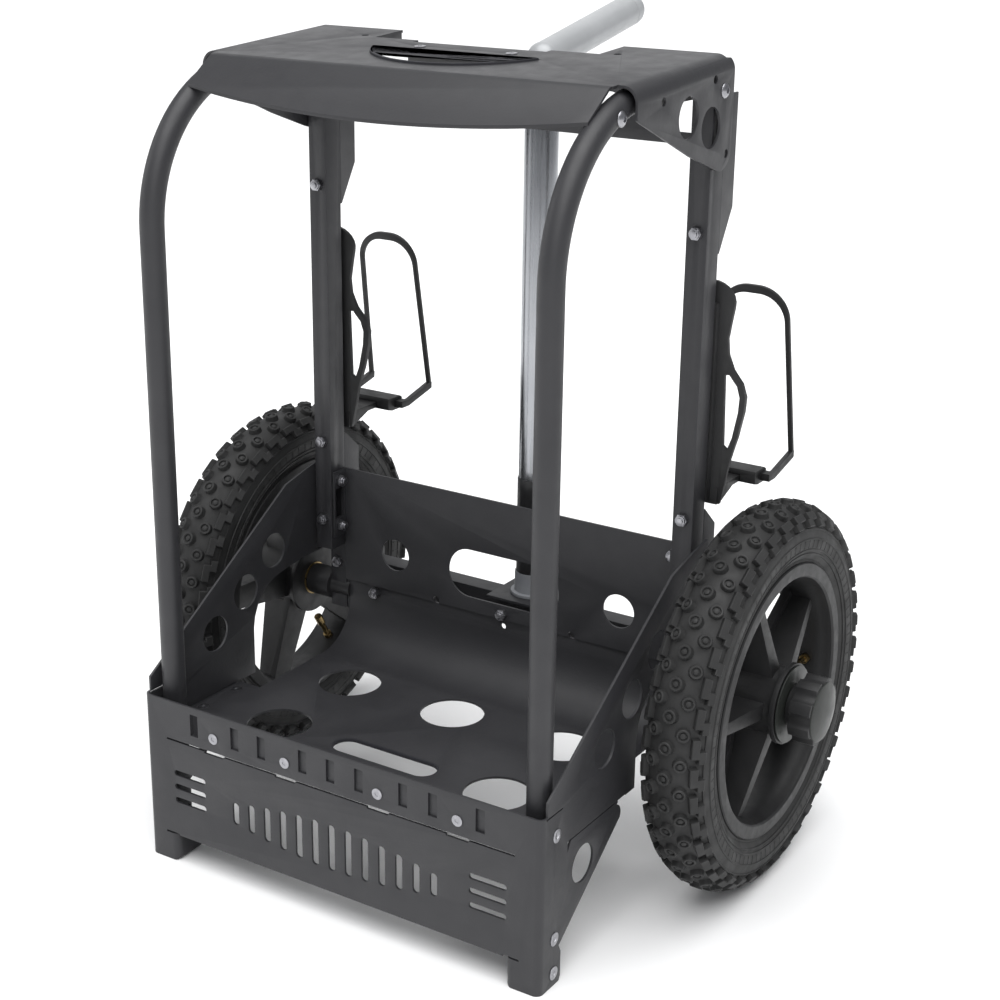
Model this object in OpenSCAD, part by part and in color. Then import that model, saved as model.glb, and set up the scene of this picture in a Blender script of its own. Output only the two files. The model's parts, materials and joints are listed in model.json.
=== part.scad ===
// Two-wheeled game cart: folded sheet-metal base and seat, two bent front tubes,
// two rear posts, pneumatic wheels on stub axles and a telescoping pole handle.
// Millimetres, +Z up, the ground at z = 0, +X the cart's left side seen from behind.
// Positions along Y are given from the face of the front panel and shifted by cart().

/* [Base] */
// Width of the folded base over its side walls
body_w = 380; // [340:10:420]
// Thickness of the folded sheets
sheet = 2; // [1.5:0.5:3]
// Height of the front panel's top edge
front_h = 146; // [140:2:160]
// Height of the front panel's lower edge
front_low = 25; // [20:1:30]
// Height of the tray's upper face
floor_z = 113; // [110:1:116]
// Depth from the front face to the back panel
back_y = 243; // [236:1:250]
// Height of the back panel's top edge
back_top = 277; // [260:1:290]

/* [Frame] */
// Outer diameter of the bent front tubes
tube_d = 19; // [18:1:20]
// Distance of the front tubes from the middle plane
tube_x = 174.5; // [174:0.5:177]
// Radius of the front tubes' bend
bend_r = 115; // [100:1:120]
// Height of the top of the rear posts
post_top = 650; // [646:1:652]
// Height of the seat's rear edge
seat_rear_z = 659; // [657:1:662]

/* [Wheels] */
// Outer radius of the tyre
tyre_r = 160; // [156:1:164]
// Width of the tyre
tyre_w = 52; // [48:1:56]
// Distance of each wheel's middle plane from the cart's middle plane
wheel_x = 236.5; // [235:0.5:240]
// Distance of the axle behind the front face
axle_y = 251; // [249:1:253]
// Radius of the stub axle
axle_r = 12; // [10:1:12]

/* [Handle] */
// Outer diameter of the fixed pole
pole_d = 28; // [26:1:30]
// Distance of the pole behind the front face
pole_y = 292; // [290:1:296]
// Length of the grip from the pole's axis to its domed end
grip_len = 143; // [130:1:160]
// Slope of the grip above the horizontal
grip_tilt = 12; // [8:1:16]

/* [Bottle cages] */
// Radius of the space for a bottle
bottle_r = 37.5; // [36:0.5:38]
// Distance of the bottle's axis behind the front face
bottle_y = 290; // [289:1:291]

/* [Hidden] */
$fn = 48;

half_w = body_w / 2;
// The grip's domed end is the rearmost point, so the middle of the cart's depth is half its distance.
grip_r = 13;
grip_start_z = 639.6;
rear_y = pole_y + grip_len * cos(grip_tilt) + grip_r;
mid_y = (rear_y - 0.6) / 2;

// Sheets
gusset_y = 116;
fold_r = 6;
slit = 1.6;
slit_z = 111.8;
tray_t = 2;
tray_back_r = 45;
hole_grid_x = 107;
hole_front_y = 70.5;
hole_back_y = 167;
hole_r = 27;
hand_slot = [100, 27];
side_hole_r = 15.5;
front_screw_x = [-117, -44.5, 44.5, 117];
front_screw_z = 124.8;
side_screw_yz = [[20, 126], [20, 40], [20, 11]];
floor_screw_y = [60, 102];
back_nut_xz = [[-135, 165], [0, 176], [135, 165]];

// Posts
post_w = 17;
post_d = 20;
post_x = 177;
post_y = 224;
post_low = 205;
bracket_y = post_y + post_d;
bracket_d = 21;
front_nut_z = [530, 305, 233];
side_nut_z = [268, 226];
side_nut_y = 234;
ear_x = post_x - post_w / 2 - 0.1;

// Seat
seat_front = [94, 648];
seat_rear = [241, seat_rear_z];
seat_slope = atan((seat_rear[1] - seat_front[1]) / (seat_rear[0] - seat_front[0]));
apron_slope = 36;
apron_edge_r = 1039;
apron_edge_y = 50;
apron_half = 173;
seat_fold_r = 12;
notch_front = 101;
flap_holes = [[176.6, 620.3, 15], [212.2, 609.5, 15], [137.8, 635, 3.2], [216.3, 643, 3.2],
  [239, 588, 3.2]];
hand_half = 75;
hand_rear_y = 166;
hand_depth = 52;

// Wheels
hub_in = -26;
hub_out = 30;
hub_r = 28;
bush_r = 15;
running_gap = 0.05;
rim_lip_r = 113;
rim_well_r = 98;
rim_half = 21.5;
stud_r = 5;
knob_r = 27.5;
knob_in = 32.2;
spoke_start = [59, 51.5];
valve_start = [148, 87.5];

// Handle
pole_r = pole_d / 2;
pole_bore = pole_r - 1.6;
inner_r = 11.5;
plate_z = 178;
plate_t = 2.5;
pole_low = plate_z + plate_t;
bush_top = 622;

// Cages
cage_x = 180;
cage_low = 313;
cage_wall = 3.2;
hoop_lean = 8.5;

// ---------- helpers ----------

// Shifts the cart so that its origin is on the ground under the middle of its box
module cart() {
  translate([0, -mid_y, 0]) children();
}

// A drawing in the YZ plane, given thickness w along +X from x0
module yz(x0, w) {
  translate([x0, 0, 0]) rotate([90, 0, 90]) linear_extrude(w) children();
}

// A drawing in the XZ plane, given thickness d along +Y from y0
module xz(y0, d) {
  translate([0, y0 + d, 0]) rotate([90, 0, 0]) linear_extrude(d) children();
}

// A round bar along X
module bar_x(x0, w, r, yz) {
  translate([x0, yz[0], yz[1]]) rotate([0, 90, 0]) cylinder(h = w, r = r);
}

// A round bar along Y
module bar_y(y0, d, r, xz) {
  translate([xz[0], y0, xz[1]]) rotate([-90, 0, 0]) cylinder(h = d, r = r);
}

// A flat slot with round ends, w wide over its ends and h high
module obround(w, h) {
  square([w - h, h], center = true);
  for (s = [-1, 1]) translate([s * (w - h) / 2, 0]) circle(d = h);
}

// A rectangle with its four corners rounded
module rounded(size, r) {
  square([size[0] - 2 * r, size[1]], center = true);
  square([size[0], size[1] - 2 * r], center = true);
  for (i = [-1, 1], j = [-1, 1]) translate([i * (size[0] / 2 - r), j * (size[1] / 2 - r)]) circle(r = r);
}

// Points of an arc about c from angle a to angle b
function arc(c, r, a, b, n = 8) = 
  [for (i = [0 : n]) c + r * [cos(a + (b - a) * i / n), sin(a + (b - a) * i / n)]];

// Button-head screw along the local +Z, its head standing out
module button_screw(r, shank) {
  difference() {
    intersection() {
      cylinder(h = r * 0.55, r = r);
      translate([0, 0, -r * 0.75]) sphere(r = r * 1.3);
    }
    translate([0, 0, r * 0.2]) cylinder(h = r, r = r * 0.42, $fn = 6);
  }
  translate([0, 0, -shank]) cylinder(h = shank, r = r * 0.5);
}

// Flush screw with a hexagonal socket, head up
module flush_screw(r, shank) {
  difference() {
    cylinder(h = 0.6, r = r);
    translate([0, 0, 0.1]) cylinder(h = 1, r = r * 0.42, $fn = 6);
  }
  translate([0, 0, -shank]) cylinder(h = shank, r = r * 0.5);
}

// Lock nut with its collar and the screw's end, standing along the local +Z
module lock_nut(af = 9) {
  cylinder(h = 3.6, r = af / sqrt(3), $fn = 6);
  translate([0, 0, 3.6]) cylinder(h = 1.6, r = af * 0.46);
  translate([0, 0, 5.2]) cylinder(h = 1.2, r = af * 0.3);
}

// ---------- base ----------

module base_outline() {
  w = half_w;
  polygon(concat(
    [[0, 0], [28, 0], [30, 4], [30, front_low], [27, front_low + 6]],
    arc([gusset_y - 9, floor_z - 11], 9, -28, 75),
    [[gusset_y - 4, floor_z], [137, floor_z], [137, 150]],
    arc([180, 152], 43, 175, 95, 6),
    [[206, 199], [bracket_y, 199], [bracket_y, 285], [220, 281], [186, 273], [7, 158], [0, 154]]
  ));
}

module front_window_slots() {
  for (s = [-1, 1], k = [0 : 2])
    translate([s * 144, 82.7 - 12.3 * k]) obround(33, 5);
}

// A plain row of upright vents whose heights rise to the middle
module front_vents() {
  for (i = [-6 : 6])
    translate([i * 16, 64]) rotate(90) obround(14 + 26 * cos(i * 13), 6.5);
}

module band_slots() {
  for (x = [-137, -95, -68, -27, 0, 27, 68, 95, 137]) translate([x, 130.5]) square([8, 19], center = true);
}

module slit_line() {
  translate([0, slit_z]) square([334, slit], center = true);
  for (x = front_screw_x) translate([x, slit_z - 0.6]) square([20, 3.4], center = true);
}

// Folded inner side of each front leg
module leg_returns() {
  for (m = [0, 1]) mirror([m, 0, 0]) intersection() {
    linear_extrude(front_low - 0.2) intersection() {
      translate([180, 30]) difference() {
        rounded([40, 60], 6);
        rounded([40 - 2 * sheet, 60 - 2 * sheet], 6 - sheet);
      }
      translate([150, -1]) square([24, 29]);
    }
    xz(-1, 40) translate([185, 30]) rounded([50, 60], 5);
  }
}

module base_shell() {
  color([0.17, 0.17, 0.18]) cart() leg_returns();
  color([0.17, 0.17, 0.18]) cart() difference() {
    intersection() {
      linear_extrude(300) difference() {
        translate([-half_w, 0]) {
          translate([0, fold_r]) square([body_w, 260]);
          translate([fold_r, 0]) square([body_w - 2 * fold_r, fold_r]);
          for (x = [fold_r, body_w - fold_r]) translate([x, fold_r]) circle(r = fold_r);
        }
        translate([0, sheet]) {
          translate([-half_w + sheet, fold_r - sheet]) square([body_w - 2 * sheet, 300]);
          translate([-half_w + fold_r, 0]) square([body_w - 2 * fold_r, fold_r]);
          for (s = [-1, 1]) translate([s * (half_w - fold_r), fold_r - sheet]) circle(r = fold_r - sheet);
        }
      }
      yz(-half_w - 1, body_w + 2) base_outline();
    }
    // front panel: top edge, lower edge between the feet, slots and vents
    translate([-half_w - 1, -1, front_h]) cube([body_w + 2, 8, 100]);
    translate([-166, -1, -1]) cube([332, 8, front_low + 1]);
    xz(-1, 4) {
      slit_line();
      band_slots();
      front_window_slots();
      front_vents();
      for (x = front_screw_x) translate([x, front_screw_z]) circle(r = 2.6);
      for (s = [-1, 1]) translate([s * 165, front_low + 0.6]) square([14, 1.6], center = true);
    }
    // side walls: relief slits, lightening holes and screw holes
    yz(-half_w - 1, body_w + 2) {
      translate([5, front_h - 1.8]) square([23, 1.4]);
      translate([38, floor_z - 0.4]) square([85, 1.2]);
      polygon([[36, floor_z + 0.4], [36, floor_z - 9], [42, floor_z + 0.4]]);
      translate([59.3, 84.6]) circle(r = side_hole_r);
      for (p = [[87.4, 167.3], [127.9, 192], [166.3, 218.2]]) translate(p) circle(r = side_hole_r);
      for (p = side_screw_yz) translate(p) circle(r = 2.9);
    }
  }
}

module tray_profile() {
  y = back_y + sheet + 0.1;
  a = floor_z - tray_t;
  polygon(concat(
    [[sheet + 0.1, 140], [sheet + 0.1, floor_z], [sheet + 2.1, a]],
    arc([y + tray_t - tray_back_r, a + tray_back_r], tray_back_r, -90, 0, 12),
    [[y + tray_t, 180], [y, 180]],
    arc([y + tray_t - tray_back_r, a + tray_back_r], tray_back_r - tray_t, 0, -90, 12),
    [[sheet + 2.1 + tray_t, floor_z], [sheet + 2.1, floor_z + 2], [sheet + 2.1, 140]]
  ));
}

module tray() {
  w = body_w - 2 * sheet - 0.4;
  color([0.15, 0.15, 0.16]) cart() difference() {
    yz(-w / 2, w) tray_profile();
    translate([0, 0, floor_z - 10]) linear_extrude(20) {
      for (i = [-1 : 1]) translate([i * hole_grid_x, hole_back_y]) circle(r = hole_r);
      for (i = [-1, 1]) translate([i * hole_grid_x, hole_front_y]) circle(r = hole_r);
      translate([0, hole_front_y]) obround(hand_slot[0], hand_slot[1]);
      for (s = [-1, 1], y = floor_screw_y) translate([s * 180, y]) circle(r = 2.4);
    }
    for (s = [-1, 1], y = floor_screw_y) translate([s * 180, y, floor_z - 0.7]) cylinder(h = 2, r = 4.6);
    // room for the front tubes and posts
    for (s = [-1, 1]) {
      translate([s * w / 2, 2, 120]) rotate(45) cube([6, 6, 80], center = true);
      translate([s * tube_x, 20, 100]) cylinder(h = 60, r = tube_d / 2 + 1);
      translate([s * 182, 190, 150]) cube([34, 150, 110], center = true);
    }
    xz(-1, 10) {
      for (x = front_screw_x) translate([x, front_screw_z]) circle(r = 2.6);
      translate([-137, 130.5]) square([8, 19], center = true);
    }
    xz(back_y - 8, 16) {
      for (p = back_nut_xz) translate(p) circle(r = 2.6);
      for (s = [-1, 1]) translate([s * 69, 173]) circle(r = 3.5);
      translate([0, 164]) circle(r = 2.6);
    }
  }
}

// Rubber edging that grips the rim of the tray's hand slot
module tray_slot_trim() {
  color([0.05, 0.05, 0.05]) cart() translate([0, hole_front_y, 0]) difference() {
    translate([0, 0, floor_z - tray_t - 1.4]) linear_extrude(tray_t + 1.4)
      obround(hand_slot[0] + 6, hand_slot[1] + 6);
    translate([0, 0, floor_z - 10]) linear_extrude(20) obround(hand_slot[0] - 3, hand_slot[1] - 3);
    translate([0, 0, floor_z - tray_t]) linear_extrude(tray_t) obround(hand_slot[0] + 8, hand_slot[1] + 8);
  }
  color([0.05, 0.05, 0.05]) cart() translate([0, hole_front_y, floor_z - tray_t])
    linear_extrude(tray_t) difference() {
    obround(hand_slot[0] - 0.02, hand_slot[1] - 0.02);
    obround(hand_slot[0] - 3, hand_slot[1] - 3);
  }
}

module back_panel() {
  color([0.15, 0.15, 0.16]) cart() difference() {
    union() {
      xz(back_y, sheet) translate([-ear_x, 171]) square([2 * ear_x, back_top - 171]);
      // ears that bolt to the posts' inner faces
      for (s = [-1, 1]) translate([s * (ear_x - 1) - 1, post_y + 2, 216])
        cube([2, back_y - post_y, back_top - 216]);
    }
    xz(back_y - 1, 4) {
      for (s = [-1, 1]) translate([s * 113, 205.5]) circle(r = 14.7);
      translate([0, 206]) obround(112, 44);
      for (p = back_nut_xz) translate(p) circle(r = 2.6);
      for (s = [-1, 1]) translate([s * 69, 173]) circle(r = 3.5);
    }
    for (s = [-1, 1], z = side_nut_z) bar_x(s * ear_x - 5, 10, 2.6, [side_nut_y, z]);
    for (s = [-1, 1]) translate([s * 167 - 4, side_nut_y - 6, 233]) cube([8, 12, 28]);
  }
}

module foot(s) {
  x = s * 175.8;
  color([0.07, 0.07, 0.09]) cart() difference() {
    union() {
      intersection() {
        translate([x, 16.2, 0]) linear_extrude(24) rounded([24, 28], 4);
        yz(x - 20, 40)
          polygon(concat([[0, 24]], [[0, 6]], arc([10, 8], 8, 180, 270, 6), [[26, 0], [31, 5], [31, 24]]));
      }
      translate([s * tube_x, 20, 20]) cylinder(h = 30, r = tube_d / 2 - 1.6);
    }
    for (p = [side_screw_yz[1], side_screw_yz[2]]) bar_x(x - 20, 40, 2.9, p);
  }
}

module foot_left() { foot(-1); }
module foot_right() { foot(1); }

// ---------- frame ----------

// A front tube: upright, bent backwards under the seat, and level back to its post
module front_tube(s) {
  z_bend = 523;
  color([0.16, 0.16, 0.17]) cart() translate([s * tube_x, 20, 0]) difference() {
    union() {
      translate([0, 0, 26]) linear_extrude(z_bend - 26) tube_ring();
      translate([0, bend_r, z_bend]) rotate([90, 0, -90]) rotate_extrude(angle = 90)
        translate([bend_r, 0]) tube_ring();
      translate([0, post_y - 20.1, z_bend + bend_r]) rotate([90, 0, 0])
        linear_extrude(post_y - 20.1 - bend_r) tube_ring();
    }
    bar_x(-20, 40, 2.9, [0, 126]);
    bar_x(-20, 40, 2.9, [0, 40]);
    bar_x(-20, 40, 2.9, [69.8, 628]);
  }
}

module tube_ring() {
  difference() {
    circle(r = tube_d / 2);
    circle(r = tube_d / 2 - 1.6);
  }
}

module front_tube_left() { front_tube(-1); }
module front_tube_right() { front_tube(1); }

module post(s) {
  x = s * post_x;
  color([0.16, 0.16, 0.17]) cart() difference() {
    translate([x - post_w / 2, post_y, post_low]) cube([post_w, post_d, post_top - post_low]);
    translate([x - post_w / 2 + 1.6, post_y + 1.6, post_low - 1])
      cube([post_w - 3.2, post_d - 3.2, post_top - post_low - 0.6]);
    for (z = front_nut_z) bar_y(post_y - 1, 4, 2.6, [x, z]);
    for (z = side_nut_z) bar_x(x - s * 7 - 4, 8, 2.6, [side_nut_y, z]);
    bar_x(x + s * 7 - 4, 8, 2.9, [232, 634]);
    // shallow recess between the inner nuts
    translate([x - s * post_w / 2 - 3, side_nut_y - 6, 233]) cube([6, 12, 28]);
  }
}

module post_left() { post(-1); }
module post_right() { post(1); }

// Folded channel behind the post's top that the seat is bolted to
module seat_bracket(s) {
  x = s * post_x;
  color([0.16, 0.16, 0.17]) cart() difference() {
    yz(x - post_w / 2, post_w) translate([bracket_y + 0.1, 0])
      polygon([[0, 512], [2, 512], [bracket_d, 545], [bracket_d, 630], [0, 630]]);
    yz(x - post_w / 2 + 2, post_w - 4) translate([bracket_y + 2.1, 0])
      polygon([[0, 515], [1, 515], [bracket_d, 549], [bracket_d, 650], [0, 650]]);
  }
}

module seat_bracket_left() { seat_bracket(-1); }
module seat_bracket_right() { seat_bracket(1); }

// Folded channel behind the post's foot that holds the stub axle
module axle_bracket(s) {
  x = s * post_x;
  color([0.16, 0.16, 0.17]) cart() difference() {
    yz(x - post_w / 2, post_w) translate([bracket_y + 0.1, 0])
      polygon([[0, 142], [bracket_d, 142], [bracket_d, 292], [2, 309], [0, 309]]);
    yz(x - post_w / 2 + 3, post_w - 6) translate([bracket_y + 3.1, 0])
      polygon([[0, 120], [bracket_d, 120], [bracket_d, 289], [0, 304]]);
    bar_x(x - 20, 40, 9, [axle_y, tyre_r]);
  }
}

module axle_bracket_left() { axle_bracket(-1); }
module axle_bracket_right() { axle_bracket(1); }

// Square cross tube between the axle brackets, with an end plate welded on each end
module axle_beam() {
  x_end = post_x - post_w / 2 - 3.2;
  color([0.16, 0.16, 0.17]) cart() {
    difference() {
      translate([-x_end, 279, 150]) cube([2 * x_end, 19, 28]);
      translate([-x_end - 1, 281, 152]) cube([2 * x_end + 2, 15, 24]);
    }
    for (s = [-1, 1]) difference() {
      translate([s * (x_end + 1.5) - 1.5, bracket_y + 1, 142]) cube([3, 298 - bracket_y, 44]);
      bar_x(s * x_end - 5, 10, 9, [axle_y, tyre_r]);
    }
  }
}

// Stub axle: a stem through the bracket, the bearing length and a stud for the knob
module axle(s) {
  color([0.08, 0.08, 0.08]) cart() translate([0, axle_y, tyre_r]) rotate([0, 90 * s, 0]) {
    translate([0, 0, post_x - post_w / 2 - 3.2]) cylinder(h = post_w + 3.2, r = 9);
    translate([0, 0, post_x + post_w / 2])
      cylinder(h = wheel_x + hub_in - post_x - post_w / 2 - 1.2, r = 14);
    translate([0, 0, post_x + post_w / 2])
      cylinder(h = wheel_x + hub_out - post_x - post_w / 2, r = axle_r);
    translate([0, 0, wheel_x]) cylinder(h = hub_out + 24, r = stud_r);
  }
}

module axle_left() { axle(-1); }
module axle_right() { axle(1); }

// ---------- seat ----------

function seat_z(y) = seat_front[1] + (y - seat_front[0]) * tan(seat_slope);

// Side view of the top plate and its flaps
module seat_side() {
  polygon(concat(
    [[seat_front[0], 660], [seat_front[0], 630], [105, 624], [181, 592.6]],
    arc([231, 592], 16, 250, 360, 6),
    [[247, 670], [seat_front[0], 670]]
  ));
}

// Cross-section of the top plate with its side folds
module seat_section(t) {
  w = half_w - t;
  r = seat_fold_r - t;
  translate([-w, -120 - t]) square([2 * w, 120 - r]);
  translate([-w + r, -120 - t]) square([2 * (w - r), 120]);
  for (s = [-1, 1]) translate([s * (w - r), -t - r]) circle(r = r);
}

// Outline of the hand hole: a straight rear edge and a bowed front edge
module hand_outline(grow) {
  intersection() {
    translate([-100, hand_rear_y - 90]) square([200, 90 + grow]);
    translate([0, hand_rear_y - hand_depth + 80]) circle(r = 80 + grow, $fn = 96);
  }
}

module seat_top() {
  color([0.24, 0.24, 0.25]) cart() difference() {
    union() {
      intersection() {
        translate([0, seat_front[0], seat_front[1]]) rotate([90 + seat_slope, 0, 0])
          translate([0, 0, -180]) linear_extrude(190) difference() {
            seat_section(0);
            seat_section(sheet);
          }
        yz(-half_w - 1, body_w + 2) seat_side();
      }
      // front bend and sloping apron with a bowed lower edge
      intersection() {
        yz(-apron_half, 2 * apron_half) apron_side();
        translate([0, seat_front[0], 0]) linear_extrude(800)
          translate([0, apron_edge_y - seat_front[0] + apron_edge_r])
          circle(r = apron_edge_r, $fn = 180);
      }
      // turned-down edges beside the step
      for (m = [0, 1]) mirror([m, 0, 0]) yz(101, 2)
        polygon([[200, 646], [234, 648], [239.5, 652], [239.5, 657.8], [200, 655]]);
    }
    // rear edge: wide step round the handle, and a shallow one for the hand-hole bar
    translate([-101, 204, 600]) cube([202, 60, 80]);
    translate([-60, 197, 600]) cube([120, 60, 80]);
    // corner reliefs for the front tubes
    for (s = [-1, 1]) translate([s * (half_w - 3) - 13, 0, 560]) cube([26, notch_front, 120]);
    translate([-200, 241, 656]) cube([400, 20, 20]);
    linear_extrude(800) {
      hand_outline(0);
      for (s = [-1, 1]) translate([s * 114, 208]) circle(r = 3);
      for (s = [-1, 1]) translate([s * 41, 179]) circle(r = 3);
    }
    yz(-half_w - 1, body_w + 2) for (h = flap_holes) translate([h[0], h[1]]) circle(r = h[2]);
    for (s = [-1, 1]) bar_x(s * half_w - 5, 10, 2.9, [232, 634]);
  }
}

module apron_side() {
  a = apron_slope;
  c = [seat_front[0] + 2, seat_front[1] - 9.8];
  edge = c + 10 * [-sin(a), cos(a)];
  down = [-cos(a), -sin(a)];
  across = [sin(a), -cos(a)];
  polygon(concat(
    [[seat_front[0] + 4, seat_z(seat_front[0] + 4)]],
    arc(c, 10, 90 + seat_slope, 90 + a, 5),
    [edge + 60 * down, edge + 60 * down + sheet * across],
    arc(c, 10 - sheet, 90 + a, 90 + seat_slope, 5),
    [[seat_front[0] + 4, seat_z(seat_front[0] + 4) - sheet]]
  ));
}

// Rubber edging round the bowed edge of the hand hole
module hand_hole_trim() {
  color([0.05, 0.05, 0.05]) cart() intersection() {
    translate([0, seat_front[0], seat_front[1]])
      rotate([seat_slope, 0, 0]) translate([-100, -20, -sheet - 1.6])
      cube([200, 160, sheet + 3.2]);
    linear_extrude(800) difference() {
      hand_outline(-0.05);
      hand_outline(-2.6);
      translate([-100, hand_rear_y - 2.2]) square([200, 10]);
    }
  }
}

// Bar screwed under the hand hole's rear edge, with a flange down its back
module hand_hole_bar() {
  color([0.1, 0.1, 0.1]) cart() difference() {
    union() {
      translate([-60, 190, 627]) cube([120, 4, 24]);
      intersection() {
        translate([0, seat_front[0], seat_front[1]])
          rotate([seat_slope, 0, 0]) translate([-70, 60, -sheet - 4.1])
          cube([140, 60, 4]);
        linear_extrude(800) translate([0, 180]) rounded([130, 30], 5);
      }
    }
    linear_extrude(800) for (s = [-1, 1]) translate([s * 41, 179]) circle(r = 3);
  }
}

// Plate across the back of the seat, between the brackets behind the posts
module rear_crossbar() {
  x = post_x - post_w / 2 - 0.3;
  color([0.16, 0.16, 0.17]) cart() difference() {
    translate([-x, bracket_y - 2, 591]) cube([2 * x, sheet, 44]);
    xz(bracket_y - 3, 5) for (s = [-1, 1]) {
      translate([s * 90, 613]) circle(r = 12);
      translate([s * 145, 622]) square([30, 44], center = true);
    }
  }
}

// ---------- handle ----------

module pole_plate() {
  color([0.18, 0.18, 0.19]) cart() difference() {
    translate([-30, 264, plate_z]) cube([60, 56, plate_t]);
    translate([0, pole_y, plate_z - 1]) cylinder(h = 5, r = 4);
  }
}

module pole_tube() {
  color([0.75, 0.76, 0.78]) cart() translate([0, pole_y, 0]) difference() {
    translate([0, 0, pole_low]) cylinder(h = 608 - pole_low, r = pole_r);
    translate([0, 0, pole_low + 3]) cylinder(h = 500, r = pole_bore);
  }
}

module pole_sleeve() {
  color([0.08, 0.08, 0.09]) cart() translate([0, pole_y, 0]) difference() {
    translate([0, 0, pole_low + 21]) cylinder(h = 264 - plate_z, r = pole_r + 0.6);
    translate([0, 0, pole_low]) cylinder(h = 120, r = pole_r);
  }
}

module pole_foot_collar() {
  color([0.55, 0.57, 0.6]) cart() translate([0, pole_y, 0]) difference() {
    union() {
      translate([0, 0, pole_low]) cylinder(h = 21, r = pole_r + 1.6);
      translate([0, 0, pole_low]) cylinder(h = 3, r = pole_r + 5);
    }
    translate([0, 0, pole_low - 1]) cylinder(h = 40, r = pole_r);
  }
}

// Bush at the top of the pole that the inner tube slides in
module pole_top_bush() {
  color([0.4, 0.41, 0.43]) cart() translate([0, pole_y, 0]) difference() {
    union() {
      translate([0, 0, 608]) cylinder(h = bush_top - 608, r = pole_r + 3);
      translate([0, 0, 590]) cylinder(h = 18, r = pole_bore);
    }
    translate([0, 0, 580]) cylinder(h = 60, r = inner_r + running_gap);
  }
}

// Strap from the rear crossbar round the pole
module pole_top_bracket() {
  color([0.16, 0.16, 0.17]) cart() difference() {
    union() {
      translate([-22, bracket_y, 594]) cube([44, pole_y - bracket_y, 10]);
      translate([0, pole_y, 594]) cylinder(h = 10, r = 22);
    }
    translate([0, pole_y, 590]) cylinder(h = 20, r = pole_r);
    translate([-15, bracket_y + 4, 590]) cube([30, 24, 20]);
  }
}

module handle_inner_tube() {
  color([0.75, 0.76, 0.78]) cart() translate([0, pole_y, 0]) difference() {
    translate([0, 0, 206]) cylinder(h = grip_start_z - 206 - 8, r = inner_r);
    translate([0, 0, 200]) cylinder(h = grip_start_z - 215, r = inner_r - 1.5);
  }
}

// Guide on the foot of the inner tube
module handle_guide() {
  color([0.1, 0.1, 0.1]) cart() translate([0, pole_y, 0]) difference() {
    translate([0, 0, 196]) cylinder(h = 30, r = pole_bore - running_gap);
    translate([0, 0, 206]) cylinder(h = 30, r = inner_r);
  }
}

// Grip tube that turns back from the inner tube
module handle_grip() {
  color([0.6, 0.61, 0.62]) cart() translate([0, pole_y, grip_start_z]) difference() {
    union() {
      sphere(r = grip_r + 0.4);
      rotate([-90 + grip_tilt, 0, 0]) cylinder(h = grip_len - 6, r = grip_r);
      translate([0, 0, -10]) cylinder(h = 7, r = 23);
    }
    translate([0, 0, -40]) cylinder(h = 32, r = inner_r);
  }
}

module handle_grip_cap() {
  color([0.6, 0.61, 0.62]) cart() translate([0, pole_y, grip_start_z]) rotate([-90 + grip_tilt, 0, 0])
    translate([0, 0, grip_len - 6]) rotate_extrude() intersection() {
      union() {
        square([grip_r, 6]);
        translate([0, 6]) circle(r = grip_r);
      }
      square([grip_r, 30]);
    }
}

// ---------- bottle cages ----------

// Front view of the cage: a top lobe, a waist, two wings and a narrow foot
module cage_outline() {
  side = concat(
    arc([0, 473.5], 17.5, 90, -10, 7),
    [[15.5, 458], [14, 446], [15, 434], [19, 422], [25, 411], [27.5, 400], [27, 388], [24, 368],
      [20, 350], [17, 330]],
    [[14, cage_low], [0, cage_low]]
  );
  difference() {
    for (m = [0, 1]) mirror([m, 0]) polygon(side);
    for (m = [0, 1]) mirror([m, 0])
      polygon([[13, 418], [16.5, 418], [22, 409], [24, 400], [23.5, 388], [20.5, 368], [17.5, 358],
        [14.5, 361]]);
  }
}

module cage(s) {
  color([0.08, 0.08, 0.08]) cart() translate([s * cage_x, 0, 0]) difference() {
    union() {
      intersection() {
        difference() {
          translate([0, bottle_y, 290]) cylinder(h = 220, r = bottle_r + cage_wall, $fn = 96);
          translate([0, bottle_y, 280]) cylinder(h = 240, r = bottle_r, $fn = 96);
        }
        xz(240, bottle_y - 245) cage_outline();
      }
      // spine pad against the post, and the tongue under the bottle
      translate([-7, bracket_y + 0.1, 316]) cube([14, 9, 158]);
      yz(-13, 26) polygon([[249.6, cage_low], [256, cage_low], [278, 321.5], [304, 321.5],
        [304, 326.5], [250, 326.5]]);
    }
    for (z = [350, 440]) bar_y(240, 40, 2.6, [0, z]);
  }
}

module cage_left() { cage(-1); }
module cage_right() { cage(1); }

// Sliding block on the tongue that carries the hoop
module cage_block(s) {
  color([0.07, 0.07, 0.07]) cart() translate([s * cage_x, 0, 0]) difference() {
    yz(-26.5, 53) polygon([[290, 321], [296, 319.4], [309, 319.4], [311, 321.5], [311, 329],
      [308, 331], [291, 331], [290, 329]]);
    translate([-13.3, 280, 321.2]) cube([26.6, 40, 5.6]);
  }
}

module cage_block_left() { cage_block(-1); }
module cage_block_right() { cage_block(1); }

// Flat hoop beyond the bottle: a leaning frame whose two arms run back to the block
module cage_hoop(s) {
  color([0.07, 0.07, 0.07]) cart() translate([s * cage_x, 0, 0]) {
    translate([0, 344, 331]) rotate([hoop_lean, 0, 0]) xz(0, 3) difference() {
      hoop_outline(34.5, 31, 144, 27);
      hoop_outline(30.7, 27.2, 137.5, 22);
    }
    for (m = [0, 1]) mirror([m, 0, 0]) yz(30.4, 4)
      polygon([[300, 322], [311, 322], [346.5, 330.5], [347, 336], [342.5, 336], [311, 328], [300, 328]]);
    for (m = [0, 1]) mirror([m, 0, 0]) translate([26.5, 300, 322]) cube([4.5, 9, 6]);
  }
}

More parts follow.
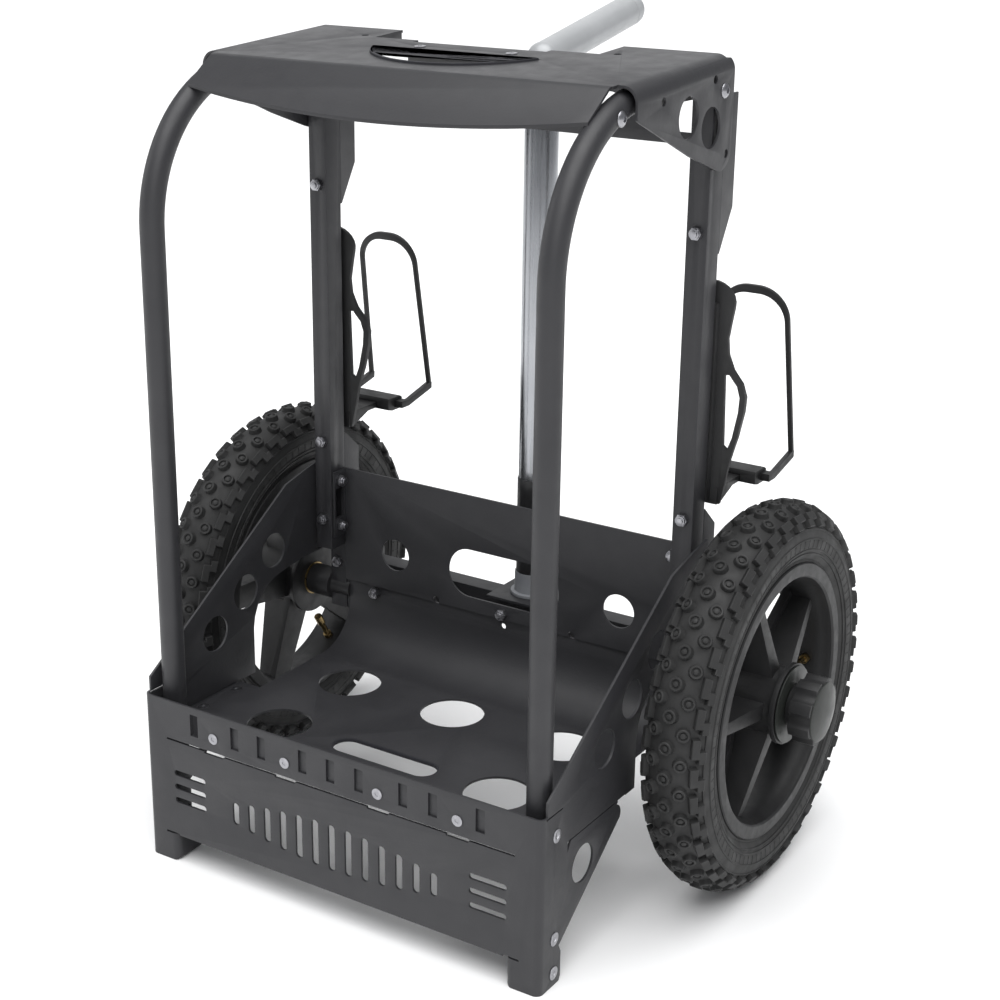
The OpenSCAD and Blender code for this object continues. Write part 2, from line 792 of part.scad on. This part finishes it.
// Inverted U, w0 half-width at its foot and w1 at its shoulders, with shoulder radius r
module hoop_outline(w0, w1, z1, r) {
  polygon([[-w0, 0], [w0, 0], [w1, z1 - r], [-w1, z1 - r]]);
  translate([-w1 + r, z1 - r - 1]) square([2 * (w1 - r), r + 1]);
  for (s = [-1, 1]) translate([s * (w1 - r), z1 - r]) circle(r = r);
}

module cage_hoop_left() { cage_hoop(-1); }
module cage_hoop_right() { cage_hoop(1); }

// ---------- wheels ----------

// Places a wheel part whose own axis is +Z, pointing away from the cart
module on_axle(s) {
  cart() translate([s * wheel_x, axle_y, tyre_r]) rotate([0, 90 * s, 0]) children();
}

module rim_profile() {
  side = [
    [rim_well_r, 9], [rim_well_r + 1.5, 13], [rim_lip_r - 12.5, 18], [rim_lip_r - 12, rim_half],
    [rim_lip_r - 10.5, rim_half + 1.5], [rim_lip_r - 1, rim_half + 1.5], [rim_lip_r, rim_half + 0.5],
    [rim_lip_r, rim_half - 2], [rim_lip_r - 5, rim_half - 4], [rim_well_r + 5, 12]
  ];
  for (m = [0, 1]) mirror([0, m]) polygon(concat(side, [[rim_well_r + 5, -1], [rim_well_r, -1]]));
}

// One spoke: a deep rib on a wider inner web, both narrowing towards the rim
module spoke() {
  r1 = rim_well_r + 4.2;
  translate([0, 0, -15]) linear_extrude(7) polygon([[20, -14.5], [r1, -10], [r1, 10], [20, 14.5]]);
  intersection() {
    rotate([90, 0, 0]) linear_extrude(40, center = true)
      polygon([[22, -13], [r1 - 0.6, -13], [r1 - 0.6, 7.5], [30, 19], [22, 19]]);
    translate([0, 0, -14]) linear_extrude(40) polygon([[19, -7], [r1 + 1, -4], [r1 + 1, 4], [19, 7]]);
  }
}

module rim(s) {
  k0 = s > 0 ? 1 : 0;
  color([0.09, 0.09, 0.1]) on_axle(s) difference() {
    union() {
      rotate_extrude($fn = 96) rim_profile();
      translate([0, 0, hub_in]) cylinder(h = hub_out - hub_in, r = hub_r);
      translate([0, 0, hub_in]) cylinder(h = 4, r = hub_r + 4);
      translate([0, 0, hub_out - 4]) cylinder(h = 4, r = hub_r + 5);
      for (k = [0 : 4]) rotate(spoke_start[k0] + 72 * k) spoke();
    }
    translate([0, 0, hub_in - 1]) cylinder(h = hub_out - hub_in + 2, r = bush_r);
    rotate(valve_start[k0]) translate([rim_well_r - 10, 0, 0]) rotate([0, 90, 0]) cylinder(h = 30, r = 4.2);
  }
}

module rim_left() { rim(-1); }
module rim_right() { rim(1); }

module tyre_section() {
  w = tyre_w / 2;
  polygon(concat(
    [[rim_lip_r - 7.6, -15], [rim_lip_r - 4.6, -rim_half + 4.4], [rim_lip_r + 0.4, -rim_half + 2.4]],
    [[rim_lip_r + 0.4, -rim_half - 1], [rim_lip_r + 4, -w + 1]],
    arc([tyre_r - 30, 0], w, -85, -62, 3),
    arc([tyre_r - 30, 0], 30, -50, 50, 8),
    arc([tyre_r - 30, 0], w, 62, 85, 3),
    [[rim_lip_r + 4, w - 1], [rim_lip_r + 0.4, rim_half + 1]],
    [[rim_lip_r + 0.4, rim_half - 2.4], [rim_lip_r - 4.6, rim_half - 4.4], [rim_lip_r - 7.6, 15]]
  ));
}

module tyre(s) {
  color([0.06, 0.06, 0.06]) on_axle(s) rotate_extrude($fn = 120) difference() {
    tyre_section();
    translate([tyre_r - 31, 0]) circle(r = 19);
    translate([rim_lip_r - 14, -9.5]) square([16, 19]);
  }
}

module tyre_left() { tyre(-1); }
module tyre_right() { tyre(1); }

module inner_tube(s) {
  color([0.1, 0.1, 0.1]) on_axle(s) rotate_extrude($fn = 96) translate([tyre_r - 31, 0]) difference() {
    circle(r = 18.7);
    circle(r = 17.2);
  }
}

module inner_tube_left() { inner_tube(-1); }
module inner_tube_right() { inner_tube(1); }

// Tyre valve, standing in through the rim towards the hub
module valve(s) {
  color([0.7, 0.5, 0.25]) on_axle(s) rotate(valve_start[s > 0 ? 1 : 0]) {
    translate([rim_well_r - 26, 0, 0]) rotate([0, 90, 0]) cylinder(h = 38, r = 2.6);
    translate([rim_well_r - 4, 0, 0]) rotate([0, 90, 0]) cylinder(h = 16, r = 4);
    translate([rim_well_r - 30, 0, 0]) rotate([0, 90, 0]) cylinder(h = 11, r = 3.8);
  }
}

module valve_left() { valve(-1); }
module valve_right() { valve(1); }

// A flanged brass bush in each end of the hub
module bushes(s) {
  color([0.72, 0.55, 0.3]) on_axle(s) for (m = [0, 1]) {
    z0 = m == 0 ? hub_in - 0.8 : hub_out - 15;
    difference() {
      translate([0, 0, z0]) cylinder(h = 15.8, r = bush_r);
      translate([0, 0, z0 - 1]) cylinder(h = 20, r = axle_r + running_gap);
    }
  }
}

module bushes_left() { bushes(-1); }
module bushes_right() { bushes(1); }

module hub_washer(s) {
  color([0.45, 0.46, 0.47]) on_axle(s) difference() {
    translate([0, 0, hub_out + 0.9]) cylinder(h = 1.2, r = hub_r + 3.5);
    translate([0, 0, hub_out]) cylinder(h = 4, r = axle_r + running_gap);
  }
}

module hub_washer_left() { hub_washer(-1); }
module hub_washer_right() { hub_washer(1); }

// Eight-lobed hand knob with a neck
module knob(s) {
  color([0.07, 0.07, 0.07]) on_axle(s) difference() {
    union() {
      translate([0, 0, knob_in + 0.3]) cylinder(h = 8, r = 17);
      translate([0, 0, knob_in + 7]) difference() {
        cylinder(h = 18, r = knob_r);
        for (k = [0 : 7]) rotate(45 * k) translate([knob_r + 4.5, 0, -1]) cylinder(h = 20, r = 8);
      }
    }
    translate([0, 0, knob_in]) cylinder(h = 23, r = stud_r + running_gap);
  }
}

module knob_left() { knob(-1); }
module knob_right() { knob(1); }

// Low domed cap on the knob's face
module knob_cap(s) {
  color([0.35, 0.36, 0.37]) on_axle(s) translate([0, 0, knob_in + 25]) rotate_extrude()
    polygon(concat([[0, 0], [knob_r - 3, 0]], arc([0, -77.5], 82, 72.8, 90, 6)));
}

module knob_cap_left() { knob_cap(-1); }
module knob_cap_right() { knob_cap(1); }

// ---------- fasteners ----------

module front_screws() {
  color([0.8, 0.8, 0.82]) cart() for (x = front_screw_x)
    translate([x, 0, front_screw_z]) rotate([90, 0, 0]) flush_screw(4.6, 6);
}

module side_screws() {
  color([0.8, 0.8, 0.82]) cart() for (s = [-1, 1], p = side_screw_yz)
    translate([s * half_w, p[0], p[1]]) rotate([0, 90 * s, 0]) flush_screw(5.4, 8);
}

module floor_screws() {
  color([0.6, 0.6, 0.62]) cart() for (s = [-1, 1], y = floor_screw_y)
    translate([s * 180, y, floor_z - 0.7]) flush_screw(4.4, 5);
}

module frame_nuts() {
  color([0.78, 0.78, 0.8]) cart() {
    for (s = [-1, 1], z = front_nut_z) translate([s * post_x, post_y, z]) rotate([90, 0, 0]) lock_nut();
    for (s = [-1, 1], z = side_nut_z)
      translate([s * (post_x - post_w / 2 - 2.2), side_nut_y, z]) rotate([0, -90 * s, 0]) lock_nut();
    for (p = back_nut_xz) translate([p[0], back_y, p[1]]) rotate([90, 0, 0]) lock_nut();
    for (s = [-1, 1]) translate([s * post_x, bracket_y + 0.1, 186]) rotate([90, 0, 0]) lock_nut();
  }
}

module seat_bolts() {
  color([0.8, 0.8, 0.82]) cart() for (s = [-1, 1]) {
    translate([s * (tube_x + tube_d / 2), 89.8, 628]) rotate([0, 90 * s, 0]) button_screw(5.6, 14);
    translate([s * half_w, 232, 634]) rotate([0, 90 * s, 0]) button_screw(5.6, 8);
  }
}

module bar_screws() {
  color([0.8, 0.8, 0.82]) cart() for (s = [-1, 1])
    translate([s * 41, 179, seat_z(179)]) rotate([seat_slope, 0, 0]) flush_screw(4.6, 5);
}

base_shell();
tray();
tray_slot_trim();
back_panel();
foot_left();
foot_right();
front_tube_left();
front_tube_right();
post_left();
post_right();
seat_bracket_left();
seat_bracket_right();
axle_bracket_left();
axle_bracket_right();
axle_beam();
axle_left();
axle_right();
seat_top();
hand_hole_trim();
hand_hole_bar();
rear_crossbar();
pole_plate();
pole_tube();
pole_sleeve();
pole_foot_collar();
pole_top_bush();
pole_top_bracket();
handle_inner_tube();
handle_guide();
handle_grip();
handle_grip_cap();
cage_left();
cage_right();
cage_block_left();
cage_block_right();
cage_hoop_left();
cage_hoop_right();
rim_left();
rim_right();
tyre_left();
tyre_right();
inner_tube_left();
inner_tube_right();
valve_left();
valve_right();
bushes_left();
bushes_right();
hub_washer_left();
hub_washer_right();
knob_left();
knob_right();
knob_cap_left();
knob_cap_right();
front_screws();
side_screws();
floor_screws();
frame_nuts();
seat_bolts();
bar_screws();
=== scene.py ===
import json
import math

import bmesh
import bpy
from mathutils import Matrix, Vector


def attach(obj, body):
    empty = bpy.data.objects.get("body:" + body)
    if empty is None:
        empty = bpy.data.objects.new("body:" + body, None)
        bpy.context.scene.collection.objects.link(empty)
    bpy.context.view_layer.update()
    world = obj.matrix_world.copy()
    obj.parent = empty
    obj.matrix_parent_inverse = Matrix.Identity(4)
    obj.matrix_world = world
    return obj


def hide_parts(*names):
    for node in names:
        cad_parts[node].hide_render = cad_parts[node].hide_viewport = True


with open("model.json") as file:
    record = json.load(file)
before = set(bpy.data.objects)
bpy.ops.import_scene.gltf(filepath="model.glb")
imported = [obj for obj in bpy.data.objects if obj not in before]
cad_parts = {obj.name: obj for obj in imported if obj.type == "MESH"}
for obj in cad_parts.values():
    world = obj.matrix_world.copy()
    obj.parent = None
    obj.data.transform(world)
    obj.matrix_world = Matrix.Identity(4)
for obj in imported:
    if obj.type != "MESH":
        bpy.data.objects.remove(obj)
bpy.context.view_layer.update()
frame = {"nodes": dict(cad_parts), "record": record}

MM = 0.001
SCENE = bpy.context.scene


# ---------- camera ----------

def make_camera():
    az, el, roll = (math.radians(a) for a in (32.348, 19.290, 0.831))
    back = Vector((math.sin(az) * math.cos(el), -math.cos(az) * math.cos(el), math.sin(el)))
    side = Vector((0, 0, 1)).cross(back).normalized()
    up = back.cross(side)
    c, s = math.cos(roll), math.sin(roll)
    right, top = c * side + s * up, -s * side + c * up
    data = bpy.data.cameras.new("camera")
    data.lens, data.sensor_width = 65.935, 36
    data.clip_start, data.clip_end = 0.05, 60
    cam = bpy.data.objects.new("camera", data)
    m = Matrix((right, top, back)).transposed().to_4x4()
    m.translation = Vector((0.7758, -1.21016, 0.7894))
    cam.matrix_world = m
    SCENE.collection.objects.link(cam)
    SCENE.camera = cam


make_camera()


# ---------- materials ----------

class Nodes:
    """A short way to write a node tree on one material."""

    def __init__(self, name, color, rough, metal=0.0):
        self.mat = bpy.data.materials.new(name)
        self.mat.use_nodes = True
        self.mat.diffuse_color = (*color, 1)
        self.tree = self.mat.node_tree
        self.bsdf = self.tree.nodes["Principled BSDF"]
        self.bsdf.inputs["Base Color"].default_value = (*color, 1)
        self.bsdf.inputs["Roughness"].default_value = rough
        self.bsdf.inputs["Metallic"].default_value = metal
        self.coord = self.tree.nodes.new("ShaderNodeTexCoord").outputs["Object"]

    def add(self, kind, **props):
        node = self.tree.nodes.new(kind)
        for key, value in props.items():
            setattr(node, key, value)
        return node

    def link(self, a, b):
        self.tree.links.new(a, b)

    def noise(self, scale, detail=3.0, rough=0.55, stretch=None):
        node = self.add("ShaderNodeTexNoise")
        node.inputs["Scale"].default_value = scale
        node.inputs["Detail"].default_value = detail
        node.inputs["Roughness"].default_value = rough
        source = self.coord
        if stretch:
            mapping = self.add("ShaderNodeMapping")
            mapping.inputs["Scale"].default_value = stretch
            self.link(self.coord, mapping.inputs["Vector"])
            source = mapping.outputs["Vector"]
        self.link(source, node.inputs["Vector"])
        return node.outputs["Fac"]

    def ramp(self, fac, stops):
        node = self.add("ShaderNodeValToRGB")
        while len(node.color_ramp.elements) < len(stops):
            node.color_ramp.elements.new(0.5)
        for element, (pos, color) in zip(node.color_ramp.elements, stops):
            element.position = pos
            element.color = (*color, 1)
        self.link(fac, node.inputs["Fac"])
        return node.outputs["Color"]

    def spread(self, fac, lo, hi, low_in=0.3, high_in=0.7):
        node = self.add("ShaderNodeMapRange")
        for key, value in (("From Min", low_in), ("From Max", high_in), ("To Min", lo), ("To Max", hi)):
            node.inputs[key].default_value = value
        self.link(fac, node.inputs["Value"])
        return node.outputs["Result"]

    def bump(self, *layers):
        """Each layer is (height socket, strength, distance)."""
        normal = None
        for height, strength, distance in layers:
            node = self.add("ShaderNodeBump")
            node.inputs["Strength"].default_value = strength
            node.inputs["Distance"].default_value = distance
            self.link(height, node.inputs["Height"])
            if normal:
                self.link(normal, node.inputs["Normal"])
            normal = node.outputs["Normal"]
        self.link(normal, self.bsdf.inputs["Normal"])

    def paint(self, fac, stops):
        self.link(self.ramp(fac, stops), self.bsdf.inputs["Base Color"])

    def roughness(self, fac, lo, hi):
        self.link(self.spread(fac, lo, hi), self.bsdf.inputs["Roughness"])

    def set(self, **sockets):
        for key, value in sockets.items():
            self.bsdf.inputs[key.replace("_", " ")].default_value = value
        return self


def grey(v, tint=1.0):
    return (v, v, v * tint)


def powder_coat():
    n = Nodes("powder_coat", grey(0.03, 1.06), 0.5)
    n.set(Specular_IOR_Level=0.5)
    n.paint(n.noise(9, 4), [(0.3, grey(0.024, 1.12)), (0.7, grey(0.029, 1.1))])
    n.roughness(n.noise(60, 3), 0.44, 0.54)
    n.bump((n.noise(350, 2), 0.25, 0.0004), (n.noise(1300, 2), 0.14, 0.0002))
    return n.mat


def rubber():
    n = Nodes("rubber", grey(0.02), 0.72)
    n.paint(n.noise(35, 4), [(0.3, grey(0.014, 1.3)), (0.72, grey(0.022, 1.3))])
    n.roughness(n.noise(90), 0.62, 0.78)
    n.bump((n.noise(900, 3), 0.25, 0.0003))
    return n.mat


def tyre_rubber():
    n = Nodes("tyre_rubber", grey(0.022), 0.68)
    n.paint(n.noise(26, 5), [(0.28, grey(0.012)), (0.6, grey(0.017)), (0.8, grey(0.024))])
    n.roughness(n.noise(70), 0.55, 0.76)
    n.bump((n.noise(240, 3), 0.15, 0.0004), (n.noise(1100, 2), 0.2, 0.0002))
    return n.mat


def black_plastic():
    n = Nodes("black_plastic", grey(0.024), 0.55)
    n.set(Specular_IOR_Level=0.35)
    n.paint(n.noise(20, 3), [(0.3, grey(0.012, 1.04)), (0.7, grey(0.018, 1.04))])
    n.roughness(n.noise(120), 0.42, 0.56)
    n.bump((n.noise(700, 3), 0.18, 0.0003))
    return n.mat


def black_steel():
    n = Nodes("black_steel", grey(0.02), 0.38)
    n.paint(n.noise(30, 3), [(0.3, grey(0.018, 1.05)), (0.7, grey(0.026, 1.05))])
    n.roughness(n.noise(80), 0.3, 0.42)
    n.bump((n.noise(650, 2), 0.1, 0.0002))
    return n.mat


def chrome():
    n = Nodes("chrome", (0.38, 0.39, 0.41), 0.25, 1.0)
    n.paint(n.noise(14, 2), [(0.3, (0.35, 0.36, 0.38)), (0.7, (0.4, 0.41, 0.43))])
    n.roughness(n.noise(1, 3, stretch=(300, 300, 12)), 0.2, 0.3)
    n.bump((n.noise(1, 2, stretch=(900, 900, 30)), 0.04, 0.0001))
    return n.mat


def satin_grey():
    n = Nodes("satin_grey", (0.42, 0.43, 0.44), 0.45, 0.2)
    n.paint(n.noise(18, 3), [(0.3, (0.38, 0.39, 0.4)), (0.7, (0.43, 0.44, 0.45))])
    n.roughness(n.noise(90, 3), 0.34, 0.46)
    n.bump((n.noise(1300, 2), 0.12, 0.0002))
    return n.mat


def grey_plastic():
    n = Nodes("grey_plastic", (0.28, 0.29, 0.31), 0.5)
    n.paint(n.noise(30, 3), [(0.3, (0.26, 0.27, 0.29)), (0.7, (0.31, 0.32, 0.34))])
    n.roughness(n.noise(110), 0.42, 0.55)
    n.bump((n.noise(800, 3), 0.15, 0.0002))
    return n.mat


def cap_grey():
    n = Nodes("cap_grey", grey(0.035), 0.5)
    n.set(Specular_IOR_Level=0.3)
    n.paint(n.noise(25, 3), [(0.3, (0.02, 0.022, 0.02)), (0.7, (0.026, 0.029, 0.026))])
    n.roughness(n.noise(90), 0.36, 0.46)
    n.bump((n.noise(900, 2), 0.1, 0.0002))
    return n.mat


def zinc():
    n = Nodes("zinc", (0.36, 0.36, 0.38), 0.38, 1.0)
    n.paint(n.noise(180, 4), [(0.3, (0.3, 0.3, 0.32)), (0.7, (0.42, 0.42, 0.44))])
    n.roughness(n.noise(260, 3), 0.24, 0.42)
    n.bump((n.noise(1600, 2), 0.15, 0.0001))
    return n.mat


def brass():
    n = Nodes("brass", (0.3, 0.22, 0.1), 0.35, 1.0)
    n.paint(n.noise(150, 3), [(0.3, (0.24, 0.17, 0.07)), (0.7, (0.34, 0.25, 0.12))])
    n.roughness(n.noise(200), 0.24, 0.4)
    return n.mat


MATS = {f.__name__: f() for f in (
    powder_coat, rubber, tyre_rubber, black_plastic, black_steel, chrome,
    satin_grey, grey_plastic, cap_grey, zinc, brass)}
SLOT_OF = {p["node"]: p["material_slot"] for p in frame["record"]["subparts"]}
BODY_OF = {n: b for b, ns in frame["record"]["behaviour"]["bodies"].items() for n in ns}


# ---------- mesh helpers ----------

def piece(name, bm, body, slot, *nodes, smooth=35):
    """Makes an object of a bmesh, shades it, and hangs it on its body in place of CAD nodes."""
    bmesh.ops.recalc_face_normals(bm, faces=bm.faces)
    limit = math.radians(smooth)
    for f in bm.faces:
        f.smooth = True
    for e in bm.edges:
        if len(e.link_faces) == 2:
            e.smooth = e.calc_face_angle(0) < limit
    mesh = bpy.data.meshes.new(name)
    bm.to_mesh(mesh)
    bm.free()
    mesh.materials.append(MATS[slot])
    obj = bpy.data.objects.new(name, mesh)
    SCENE.collection.objects.link(obj)
    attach(obj, body)
    if nodes:
        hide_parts(*nodes)
    return obj


def soften(node, width, segments=2, angle=32):
    """A copy of a CAD node with its sharp edges rounded over, standing in its place."""
    bm = bmesh.new()
    bm.from_mesh(frame["nodes"][node].data)
    bmesh.ops.remove_doubles(bm, verts=bm.verts, dist=2e-6)
    bmesh.ops.dissolve_limit(bm, angle_limit=math.radians(0.4), verts=bm.verts, edges=bm.edges)
    sharp = [e for e in bm.edges if len(e.link_faces) == 2 and e.calc_face_angle(0) > math.radians(angle)]
    bmesh.ops.bevel(bm, geom=sharp, offset=width, segments=segments, profile=0.6,
                    affect="EDGES", clamp_overlap=True, harden_normals=False)
    return piece(node + "_finished", bm, BODY_OF[node], SLOT_OF[node], node, smooth=40)


SOFT = {
    "base_shell": 0.5, "tray": 0.5, "back_panel": 0.5, "seat_top": 0.6, "rear_crossbar": 0.5,
    "pole_plate": 0.5, "pole_top_bracket": 0.5, "axle_beam": 0.6,
    "seat_bracket": 0.5, "axle_bracket": 0.6, "post": 1.0, "front_tube": 0.5,
    "tray_slot_trim": 0.7, "hand_hole_trim": 0.7, "hand_hole_bar": 0.8, "foot": 1.2,
    "axle": 0.5, "pole_tube": 0.4, "pole_sleeve": 0.4, "pole_foot_collar": 1.0, "pole_top_bush": 1.0,
    "handle_inner_tube": 0.4, "handle_guide": 0.4, "handle_grip": 0.6, "handle_grip_cap": 0.5,
    "cage": 0.8, "cage_block": 0.7, "cage_hoop": 0.8,
    "rim": 1.0, "hub_washer": 0.3, "bushes": 0.3, "valve": 0.4, "knob": 1.2, "knob_cap": 0.6,
    "front_screws": 0.25, "side_screws": 0.25, "floor_screws": 0.25, "frame_nuts": 0.3,
    "seat_bolts": 0.25, "bar_screws": 0.25,
}

for node in sorted(frame["nodes"]):
    base = node.replace("_left", "").replace("_right", "")
    if base in SOFT:
        soften(node, SOFT[base] * MM)
    else:
        obj = frame["nodes"][node]
        obj.data.materials.clear()
        obj.data.materials.append(MATS[SLOT_OF[node]])


# ---------- tyres ----------

AXLE_Z = 0.160
WHEEL_X = 0.2365
AXLE_Y = 0.02886


def wheel_matrix(side):
    """Wheel frame: local Z points away from the cart along the axle."""
    hub = Matrix.Translation((side * WHEEL_X, AXLE_Y, AXLE_Z))
    return hub @ Matrix.Rotation(math.radians(90 * side), 4, "Y")


SEC_R = 25.5           # radius of the casing's section
SEC_C = 130.5          # its centre, from the axle
ROWS = 41              # tread knobs in one row


def casing_point(phi, lift=0.0):
    """Radius from the axle and offset along it, at angle phi from the crown."""
    r = SEC_R + lift
    return SEC_C + r * math.cos(phi), r * math.sin(phi)


def casing_profile():
    """Section of the casing: an even crown, then a sidewall with four narrow ribs, then the bead."""
    ribs = {66: 0.9, 68: 0.9, 84: 0.7, 86: 0.7, 104: 0.8, 106.5: 0.8, 112: 0.8, 114.5: 0.8}
    crown = [i * 4 for i in range(0, 16)]
    sidewall = [64, 65, 66, 68, 69, 72, 76, 80, 83, 84, 86, 87, 91, 95,
                99, 103, 104, 106.5, 107.5, 111, 112, 114.5, 115.5, 120, 126]
    bead = [(113.6, 21.4), (111.0, 19.5)]
    half = [casing_point(math.radians(a), ribs.get(a, 0.0)) for a in crown + sidewall] + bead
    return [(r, -w) for r, w in reversed(half[1:])] + half


def lathe(bm, profile, steps, m):
    """Turns a profile of (radius, offset along the axle) about the wheel's axis."""
    rings = []
    for i in range(steps):
        a = 2 * math.pi * i / steps
        c, s = math.cos(a), math.sin(a)
        rings.append([bm.verts.new(m @ Vector((r * c * MM, r * s * MM, w * MM))) for r, w in profile])
    for i in range(steps):
        p, q = rings[i], rings[(i + 1) % steps]
        for j in range(len(profile) - 1):
            bm.faces.new((p[j], p[j + 1], q[j + 1], q[j]))
    return rings


def tread_place(m, around, phi):
    """Matrix to a point on the casing: X runs around, Y across, Z outward; millimetres in, metres out."""
    r, w = casing_point(phi)
    c, s = math.cos(around), math.sin(around)
    out = Vector((math.cos(phi) * c, math.cos(phi) * s, math.sin(phi)))
    along = Vector((-s, c, 0))
    across = out.cross(along)
    place = Matrix((along, across, out)).transposed().to_4x4()
    place.translation = Vector((r * c, r * s, w))
    return m @ Matrix.Scale(MM, 4) @ place


def tread_button(bm, place, radius, height):
    """A round tread knob: a raised ring with a lower dish and a pip in its middle."""
    profile = [(radius + 0.9, -1.0), (radius + 0.35, 0.6), (radius, height - 0.5), (radius - 0.5, height),
               (radius - 1.4, height), (radius - 1.8, height - 0.4), (radius - 2.1, height - 1.6),
               (2.3, height - 1.6), (2.1, height - 0.7), (1.5, height - 0.35)]
    steps = 22
    rings = [[bm.verts.new(place @ Vector((r * math.cos(2 * math.pi * i / steps),
                                           r * math.sin(2 * math.pi * i / steps), z)))
              for i in range(steps)] for r, z in profile]
    for p, q in zip(rings, rings[1:]):
        for i in range(steps):
            j = (i + 1) % steps
            bm.faces.new((p[i], p[j], q[j], q[i]))
    bm.faces.new(rings[-1])
    bm.faces.new(list(reversed(rings[0])))


def tread_block(bm, place, outline, height, draft=0.7, bend=SEC_R):
    """A moulded block of any outline, wrapped over the casing, with drafted sides and a soft top edge."""
    def wrap(x, y, z):
        a = y / bend
        return place @ Vector((x, (bend + z) * math.sin(a), (bend + z) * math.cos(a) - bend))

    def offset(pts, d):
        out = []
        n = len(pts)
        for i in range(n):
            a, b, c = Vector(pts[i - 1]), Vector(pts[i]), Vector(pts[(i + 1) % n])
            u, v = (b - a).normalized(), (c - b).normalized()
            nu, nv = Vector((u.y, -u.x)), Vector((v.y, -v.x))
            k = nu + nv
            k = k / max(0.5, k.length_squared / 2)
            out.append((b.x + k.x * d, b.y + k.y * d))
        return out
    levels = [(draft, -1.6), (0.15, height - 0.45), (-0.35, height)]
    rings = [[bm.verts.new(wrap(x, y, z)) for x, y in offset(outline, d)] for d, z in levels]
    n = len(outline)
    for p, q in zip(rings, rings[1:]):
        for i in range(n):
            j = (i + 1) % n
            bm.faces.new((p[i], p[j], q[j], q[i]))
    bm.faces.new(rings[-1])
    bm.faces.new(list(reversed(rings[0])))


Z_BLOCK = [(-9.2, -4.6), (5.4, -4.6), (5.4, 0.8), (9.2, 0.8),
           (9.2, 5.6), (0.2, 5.6), (0.2, 0.6), (-9.2, 0.6)]
TICK = [(-0.6, -3.4), (0.6, -3.4), (0.6, 3.4), (-0.6, 3.4)]
TICKS = 90             # moulded ticks round one sidewall
SIDE_ROW = 25          # degrees from the crown to the staggered knobs, the shoulder blocks and the ticks
SHOULDER = 51
SIDEWALL = 94
KNOB_HEIGHT = 4.0
BLOCK_HEIGHT = 4.6
TICK_HEIGHT = 0.45
CASING_STEPS = 200


def make_tyre(side, name):
    m = wheel_matrix(side)
    body = "wheel_" + name
    bm = bmesh.new()
    rings = lathe(bm, casing_profile(), CASING_STEPS, m)
    for i in range(len(rings)):
        p, q = rings[i], rings[(i + 1) % len(rings)]
        bm.faces.new((p[-1], p[0], q[0], q[-1]))
    step = 2 * math.pi / ROWS
    for k in range(ROWS):
        a = k * step
        tread_button(bm, tread_place(m, a, 0), 5.3, KNOB_HEIGHT)
        for s in (-1, 1):
            tread_button(bm, tread_place(m, a + step / 2, s * math.radians(SIDE_ROW)), 5.1, KNOB_HEIGHT)
            outline = Z_BLOCK if s > 0 else [(x, -y) for x, y in reversed(Z_BLOCK)]
            tread_block(bm, tread_place(m, a, s * math.radians(SHOULDER)), outline, BLOCK_HEIGHT)
    for k in range(TICKS):
        for s in (-1, 1):
            place = tread_place(m, 2 * math.pi * k / TICKS, s * math.radians(SIDEWALL))
            tread_block(bm, place, TICK, TICK_HEIGHT)
    return piece("tyre_tread_" + name, bm, body, "tyre_rubber", "tyre_" + name)


for side, name in ((-1, "left"), (1, "right")):
    make_tyre(side, name)


# ---------- studio ----------

def make_floor():
    bm = bmesh.new()
    size = 14
    bmesh.ops.create_grid(bm, x_segments=8, y_segments=8, size=size)
    mesh = bpy.data.meshes.new("floor")
    bm.to_mesh(mesh)
    bm.free()
    obj = bpy.data.objects.new("floor", mesh)
    n = Nodes("floor", (0.93, 0.93, 0.93), 0.8)
    n.roughness(n.noise(3, 2), 0.76, 0.84)
    mesh.materials.append(n.mat)
    SCENE.collection.objects.link(obj)


def area_light(name, place, target, size, power):
    data = bpy.data.lights.new(name, "AREA")
    data.shape, data.size, data.size_y = "RECTANGLE", size[0], size[1]
    data.energy = power
    obj = bpy.data.objects.new(name, data)
    obj.location = place
    obj.rotation_euler = (Vector(target) - Vector(place)).to_track_quat("-Z", "Y").to_euler()
    obj.visible_camera = False
    SCENE.collection.objects.link(obj)


def sun_light(name, direction, strength, spread):
    data = bpy.data.lights.new(name, "SUN")
    data.energy, data.angle = strength, math.radians(spread)
    obj = bpy.data.objects.new(name, data)
    obj.rotation_euler = Vector(direction).to_track_quat("Z", "Y").to_euler()
    SCENE.collection.objects.link(obj)


def make_world():
    """White to the camera, and a dimmer surround for what the object reflects."""
    world = bpy.data.worlds.new("studio")
    world.use_nodes = True
    tree = world.node_tree
    out = tree.nodes["World Output"]
    seen = tree.nodes["Background"]
    seen.inputs["Color"].default_value = (1, 1, 1, 1)
    seen.inputs["Strength"].default_value = 1.0
    felt = tree.nodes.new("ShaderNodeBackground")
    felt.inputs["Color"].default_value = (0.94, 0.96, 1, 1)
    felt.inputs["Strength"].default_value = 0.28
    path = tree.nodes.new("ShaderNodeLightPath")
    mix = tree.nodes.new("ShaderNodeMixShader")
    tree.links.new(path.outputs["Is Camera Ray"], mix.inputs["Fac"])
    tree.links.new(felt.outputs["Background"], mix.inputs[1])
    tree.links.new(seen.outputs["Background"], mix.inputs[2])
    tree.links.new(mix.outputs["Shader"], out.inputs["Surface"])
    SCENE.world = world


make_floor()
area_light("key", (1.5, -2.2, 1.9), (0, 0, 0.3), (1.6, 1.6), 12)
area_light("fill", (-2.4, -1.0, 1.4), (0, 0, 0.3), (1.8, 1.4), 12)
area_light("back", (-1.25, 2.0, 1.6), (0, 0, 0.6), (2.6, 1.4), 10)
sun_light("sky", (0.15, -0.2, 1.0), 3.6, 70)
make_world()
SCENE.view_settings.view_transform = "Standard"
